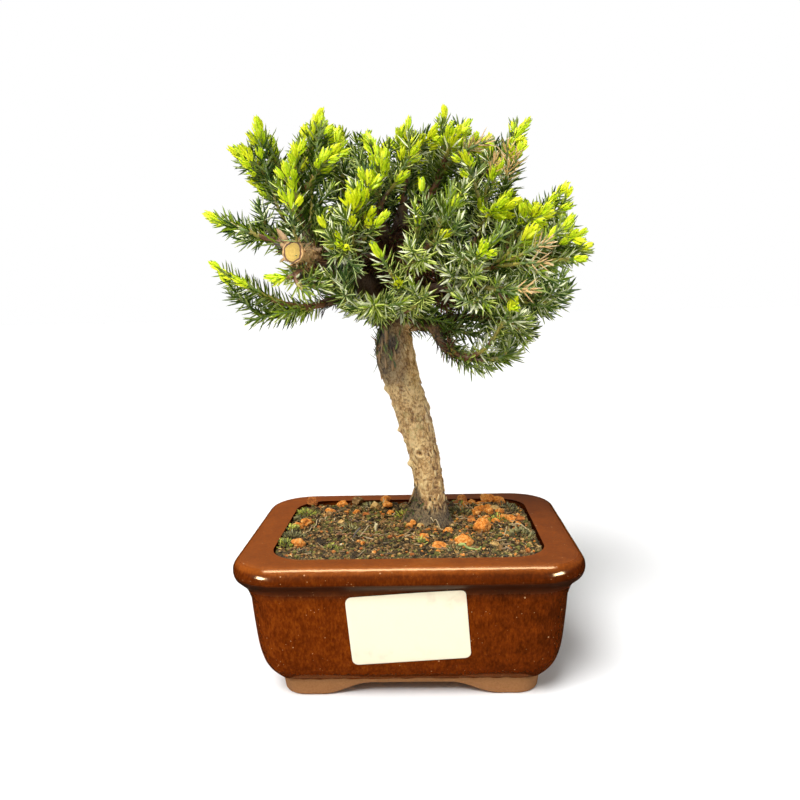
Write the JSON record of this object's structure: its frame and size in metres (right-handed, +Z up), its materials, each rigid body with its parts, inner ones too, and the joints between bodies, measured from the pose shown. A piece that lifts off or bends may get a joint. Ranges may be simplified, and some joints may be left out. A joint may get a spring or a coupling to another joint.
{
  "type": "japanese garden juniper bonsai",
  "caption": "Small young juniper tree with a leaning trunk and spiky evergreen foliage, growing in a glazed brown rectangular pot on low feet.",
  "frame": {"origin": "middle of the whole object's plan at the surface that the pot's feet stand on, which is also the pot's middle", "axes": "+Z up, +X along the pot's long side, -Y towards the labelled front"},
  "size_m": [0.1733, 0.1234, 0.2546],
  "materials": {
    "glaze": "glossy red-brown glaze with fine pale specks, bare clay feet",
    "soil": "matt dark soil with orange clay grains and moss",
    "label": "blank satin off-white label",
    "bark": "dry flaky tan bark",
    "needles": "dark green sharp needles with lime tips"
  },
  "bodies": {
    "root": {"pot": "glaze", "soil": "soil", "label": "label", "trunk": "bark", "bough_back": "bark", "bough_back_high": "bark", "bough_back_left": "bark", "bough_back_low": "bark", "bough_back_right": "bark", "bough_back_rise": "bark", "bough_crown_left": "bark", "bough_crown_right": "bark", "bough_front": "bark", "bough_front_left": "bark", "bough_hanging": "bark", "bough_left": "bark", "bough_left_low": "bark", "bough_left_out": "bark", "bough_left_side": "bark", "bough_left_under": "bark", "bough_left_up": "bark", "bough_middle": "bark", "bough_right": "bark", "bough_right_crest": "bark", "bough_right_down": "bark", "bough_right_front": "bark", "bough_right_high": "bark", "bough_right_low": "bark", "bough_right_mid": "bark", "bough_right_under": "bark", "foliage_back_crown": "needles", "foliage_back_left": "needles", "foliage_back_low": "needles", "foliage_back_right": "needles", "foliage_back_rise": "needles", "foliage_back_top": "needles", "foliage_back_under": "needles", "foliage_crown_left": "needles", "foliage_crown_peak": "needles", "foliage_crown_top": "needles", "foliage_front_left": "needles", "foliage_front_low": "needles", "foliage_front_low_left": "needles", "foliage_front_mid": "needles", "foliage_hanging": "needles", "foliage_left_low": "needles", "foliage_left_reach": "needles", "foliage_left_small": "needles", "foliage_left_spire": "needles", "foliage_left_tuft": "needles", "foliage_low_right": "needles", "foliage_middle": "needles", "foliage_right_crest": "needles", "foliage_right_front": "needles", "foliage_right_inner": "needles", "foliage_right_low": "needles", "foliage_right_reach": "needles", "foliage_top_right": "needles"}
  },
  "joints": []
}
